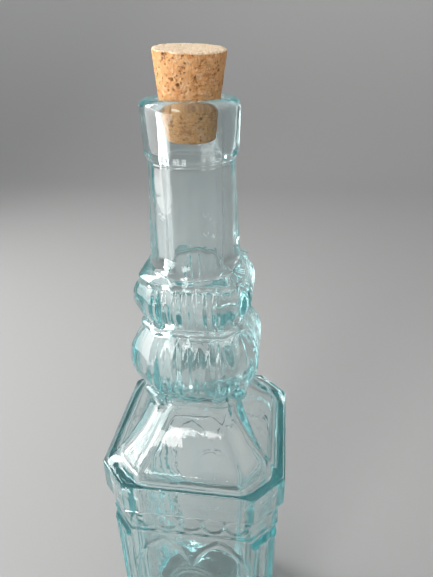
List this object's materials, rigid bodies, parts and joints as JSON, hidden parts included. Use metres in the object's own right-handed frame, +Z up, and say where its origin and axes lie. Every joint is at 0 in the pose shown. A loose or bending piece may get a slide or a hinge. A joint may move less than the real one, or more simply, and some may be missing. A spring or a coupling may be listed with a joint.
{
  "type": "glass bottle",
  "caption": "Square antique-style glass bottle: round neck over ribbed knops, flared shoulder, gothic arched panels, and a tapered cork that pulls out.",
  "frame": {"origin": "on the table, under the middle of the base", "axes": "+Z up along the axis of the bottle; the panel facing -Y is the front"},
  "size_m": [0.073, 0.073, 0.2945],
  "materials": {
    "aqua_glass": "clear moulded glass with a pale aqua tint, fire-polished and slightly wavy, with small seed bubbles",
    "natural_cork": "natural cut cork, matt, with dark pores and short streaks"
  },
  "bodies": {
    "bottle": {"glass_bottle": "aqua_glass"},
    "cork": {"cork_stopper": "natural_cork"}
  },
  "joints": [
    {"name": "cork_pull", "type": "slide", "parent": "bottle", "child": "cork", "axis": [0.052, -0.1045, 0.9932], "range_m": [0, 0.045]}
  ]
}
